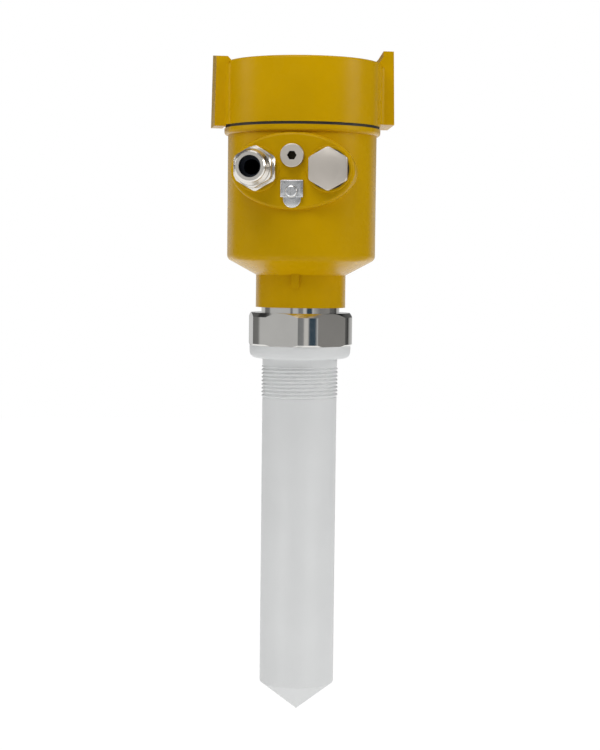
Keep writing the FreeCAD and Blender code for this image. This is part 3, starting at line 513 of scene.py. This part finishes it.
def shade_painted_recess(metal, x, z, radius, mouth):
    """Paints shade into a metal inside a round column along Y: nearer its axis than a radius, and deeper
    than the mouth, the recess gets a nearly black painted shade."""
    axes = object_axes(metal)
    flat = add_node(metal, "ShaderNodeCombineXYZ")
    offset = metal.node_tree.nodes.new("ShaderNodeVectorMath")
    offset.operation = "DISTANCE"
    offset.inputs[1].default_value = (x * MM, 0, z * MM)
    join(metal, axes["X"], flat.inputs["X"])
    join(metal, axes["Z"], flat.inputs["Z"])
    join(metal, flat.outputs[0], offset.inputs[0])
    near = ramp_between(metal, offset.outputs["Value"], radius * MM, (radius + 0.05) * MM, 1, 0)
    deep = ramp_between(metal, axes["Y"], mouth * MM, (mouth + 0.5) * MM, 0, 1)
    # Painted shade: inside the socket the metal's colour goes to near black.
    tint(metal, maths(metal, "MULTIPLY", near, deep), None, SOCKET_PAINTED_SHADE)
    return metal


PIECE_FINISHES["vent_plug"] = shade_painted_recess(
    worked_metal("vent_plug_finish", *SATIN_NICKEL), VENT_X, VENT_Z, SOCKET_RADIUS, SOCKET_MOUTH)
print("vent plug darkened in its socket, at z", VENT_Z, "mm")


# %% [markdown]
# Seals, washers and the gland's sleeve are rubber, and the modules inside are hard plastic.
# All come out of a mould, so they share one tree: a fine grain, a wide drift of shade, and a
# colour and a gloss of their own. Little gloss keeps the gland's opening dark under the lamps.


# %% Rubber and plastics
def moulded(name, color, low, high, gloss):
    """Moulded rubber or plastic: fine grain in the bump and a little drift of shade."""
    stuff = new_finish(name, color, low, Specular_IOR_Level=gloss)
    tint(stuff, spread(stuff, noise(stuff, 60, 2), 0, 1), tuple(0.75 * c for c in color), color)
    rough(stuff, noise(stuff, 300, 2), low, high)
    bump(stuff, noise(stuff, 1200, 2), 6e-6, 0.5)
    return stuff


# Each row: colour, lowest and highest roughness, gloss.
MOULDINGS = {
    "black_rubber": ((0.012, 0.012, 0.013), 0.55, 0.7, 0.5),
    "gland_rubber": ((0.003, 0.008, 0.018), 0.40, 0.55, 0.2),
    "cage_plastic": ((0.006, 0.008, 0.012), 0.35, 0.5, 0.2),
    "lead_sheath": ((0.35, 0.20, 0.08), 0.4, 0.5, 0.5),
    "dark_plastic": ((0.04, 0.04, 0.045), 0.45, 0.6, 0.5),
    "terminal_plastic": ((0.28, 0.33, 0.31), 0.35, 0.5, 0.5),
}
for slot, values in MOULDINGS.items():
    FINISHES[slot] = moulded(slot + "_finish", *values)
print(len(MOULDINGS), "rubbers and plastics")

# %% [markdown]
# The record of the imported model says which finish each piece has. They could be given one by
# one, but reading the record keeps the two in step. Two pieces have a finish of their own,
# and the new pieces come last.

# %% Give every piece its finish
for part in frame["record"]["subparts"]:
    node = NODES[part["node"]]
    node.data.materials.clear()
    node.data.materials.append(PIECE_FINISHES.get(part["node"], FINISHES[part["material_slot"]]))
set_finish(collar_thread, "horn_aluminium")
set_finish(gland_thread, "nickel_plate")
for piece in (antenna, collar_thread, gland_thread, *EASED):
    piece.data.materials.append(FINISHES[piece["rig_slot"]])
print(len(FINISHES) + len(PIECE_FINISHES), "finishes given out")

# %% [markdown]
# ## Studio
# The object hangs over a pale floor in a white room. Soft lamps stand high in front, at both
# sides and overhead, two small ones light the rod from below, and a plain white world fills
# in the rest. Polished metal shows its surroundings, so for glossy rays the world is a real
# studio seen all round: pale walls with a few darker bands, such as doors and stands.

# %% Floor
FLOOR, FLOOR_SIZE, FLOOR_SIDES = -0.262, 2.5, 96
BACKGROUND, FLOOR_GLOW = 1.0, 1.12
GLOW_FOR_LIGHT, GLOW_FOR_CAMERA = 0.42, 0.88


def make_floor():
    """A disc that is white to the camera and in reflections but keeps a soft shadow."""
    angle = np.linspace(0, 2 * np.pi, FLOOR_SIDES, endpoint=False)
    level = np.full(FLOOR_SIDES, FLOOR)
    rim = np.stack([FLOOR_SIZE * np.cos(angle), FLOOR_SIZE * np.sin(angle), level], axis=-1)
    mesh = bpy.data.meshes.new("floor")
    mesh.from_pydata(rim.tolist(), [], [list(range(FLOOR_SIDES))])
    floor = bpy.data.objects.new("floor", mesh)
    bpy.context.scene.collection.objects.link(floor)
    paper = bpy.data.materials.new("floor_paper")
    paper.use_nodes = True
    paper.node_tree.nodes.clear()
    matt = add_node(paper, "ShaderNodeBsdfDiffuse", Color=(0.85, 0.85, 0.85, 1))
    glow = add_node(paper, "ShaderNodeEmission", Color=(1, 1, 1, 1), Strength=FLOOR_GLOW * BACKGROUND)
    path = add_node(paper, "ShaderNodeLightPath")
    seen = maths(paper, "MAXIMUM", path.outputs["Is Camera Ray"], path.outputs["Is Glossy Ray"])
    share = ramp_between(paper, seen, 0, 1, GLOW_FOR_LIGHT, GLOW_FOR_CAMERA)
    mix = add_node(paper, "ShaderNodeMixShader")
    out = add_node(paper, "ShaderNodeOutputMaterial")
    join(paper, share, mix.inputs[0])
    join(paper, matt.outputs[0], mix.inputs[1])
    join(paper, glow.outputs[0], mix.inputs[2])
    join(paper, mix.outputs[0], out.inputs["Surface"])
    mesh.materials.append(paper)
    print("floor at z", FLOOR)


make_floor()

# %% [markdown]
# A picture of a room would give rich reflections, but it would be one more file to read. A
# colour ramp round the horizon does the same: each stop is a wall or a dark stand at an angle
# from the camera. Matt surfaces and the camera don't see it, so it is set for the metal alone.

# %% World
# Bands of the studio round the object: (degrees right of the camera, brightness, warmth).
STUDIO_BANDS = [
    (-180, 0.62, 0.0), (-131, 0.62, 0.0), (-127, 0.18, 0.0), (-105, 0.20, 0.0), (-98, 0.55, 0.0),
    (-31, 0.55, 0.0), (-28, 0.20, 0.0), (-24, 0.20, 0.0), (-21, 0.55, 0.0), (-8, 0.55, 0.0),
    (-4, 0.22, -0.02), (7, 0.25, -0.02), (9, 0.61, 0.02), (17, 0.61, 0.02), (20, 0.062, -0.42),
    (34, 0.068, -0.42), (36, 0.64, 0.0), (41, 0.44, 0.0), (60, 0.225, 0.02), (95, 0.28, 0.02),
    (99, 0.15, 0.0), (122, 0.12, 0.0), (124, 0.05, 0.0), (130, 0.06, 0.0), (136, 0.42, 0.0),
    (150, 0.56, 0.0), (180, 0.62, 0.0),
]
FILL = 0.18
# Over the walls, by the height and the Y of a ray's direction: where dimming starts and ends.
WALL_FOOT, WALL_TOP, BEHIND, DIMMING = 0.04, 0.09, 0.2, 0.8


def make_world():
    """White for the camera, plain fill for matt surfaces, banded walls for glossy ones. Behind
    the object the walls end a little above its middle, and it is dim over them."""
    world = bpy.data.worlds.new("studio")
    world.use_nodes = True
    bpy.context.scene.world = world
    world.node_tree.nodes.clear()
    ray = add_node(world, "ShaderNodeSeparateXYZ")
    join(world, add_node(world, "ShaderNodeTexCoord").outputs["Generated"], ray.inputs[0])
    x, y, z = ray.outputs
    angle = maths(world, "ARCTAN2", x, maths(world, "MULTIPLY", y, -1.0))
    camera_share = CAMERA_AZIMUTH / (2 * math.pi)
    around = maths(world, "MULTIPLY_ADD", angle, 1 / (2 * math.pi), 0.5 - camera_share + 1.0)
    ramp = add_node(world, "ShaderNodeValToRGB")
    join(world, maths(world, "FRACT", around, 0.0), ramp.inputs[0])
    stops = ramp.color_ramp.elements
    for i, (degrees, level, warmth) in enumerate(STUDIO_BANDS):
        spot = degrees / 360 + 0.5
        stop = stops[i] if i < 2 else stops.new(spot)
        stop.position = spot
        stop.color = (level * (1 + warmth), level, level * (1 - warmth), 1)
    above = ramp_between(world, z, WALL_FOOT, WALL_TOP, 0, DIMMING)
    behind = ramp_between(world, y, 0, BEHIND, 0, 1)
    strength = maths(world, "SUBTRACT", 1.0, maths(world, "MULTIPLY", above, behind))
    path = add_node(world, "ShaderNodeLightPath")
    plain = add_node(world, "ShaderNodeBackground", Color=(1, 1, 1, 1), Strength=FILL)
    white = add_node(world, "ShaderNodeBackground", Color=(1, 1, 1, 1), Strength=BACKGROUND)
    walls = add_node(world, "ShaderNodeBackground")
    first, second = add_node(world, "ShaderNodeMixShader"), add_node(world, "ShaderNodeMixShader")
    out = add_node(world, "ShaderNodeOutputWorld")
    for output, target in (
            (ramp.outputs[0], walls.inputs["Color"]), (strength, walls.inputs["Strength"]),
            (path.outputs["Is Glossy Ray"], first.inputs[0]), (plain.outputs[0], first.inputs[1]),
            (walls.outputs[0], first.inputs[2]), (path.outputs["Is Camera Ray"], second.inputs[0]),
            (first.outputs[0], second.inputs[1]), (white.outputs[0], second.inputs[2]),
            (second.outputs[0], out.inputs["Surface"])):
        join(world, output, target)
    print("world with", len(STUDIO_BANDS), "stops round the object")


make_world()


# %% [markdown]
# The world alone would light every side alike. Six soft lamps shape the object: one high in
# front, one at each side, two small low ones for the rod, and one overhead. A point lamp
# would throw hard shadows, so each is a square area lamp.


# %% Lamps
def soft_lamp(name, place, target, size, power):
    """A square area lamp that stands at a place and faces a target, both in metres."""
    data = bpy.data.lights.new(name, "AREA")
    data.size, data.energy = size, power
    lamp = bpy.data.objects.new(name, data)
    bpy.context.scene.collection.objects.link(lamp)
    lamp.location = place
    aim = Vector(target) - lamp.location
    lamp.rotation_euler = aim.to_track_quat("-Z", "Y").to_euler()
    print(name, power, "W")


soft_lamp("key_lamp", (-0.05, -0.30, 0.42), (0, 0, 0.17), 0.25, 0.77)
soft_lamp("left_lamp", (-0.80, -0.14, 0.38), (0, 0, 0.12), 0.35, 0.9)
soft_lamp("right_lamp", (0.80, -0.10, 0.38), (0, 0, 0.12), 0.35, 2.0)
soft_lamp("low_left_lamp", (-0.20, -0.25, -0.20), (0, 0, -0.18), 0.1, 0.16)
soft_lamp("low_right_lamp", (0.22, -0.22, -0.20), (0, 0, -0.18), 0.1, 0.13)
soft_lamp("top_lamp", (0.2, 0.3, 1.5), (0, 0, 0.1), 1.0, 3)
bpy.context.scene.view_settings.view_transform = "Standard"
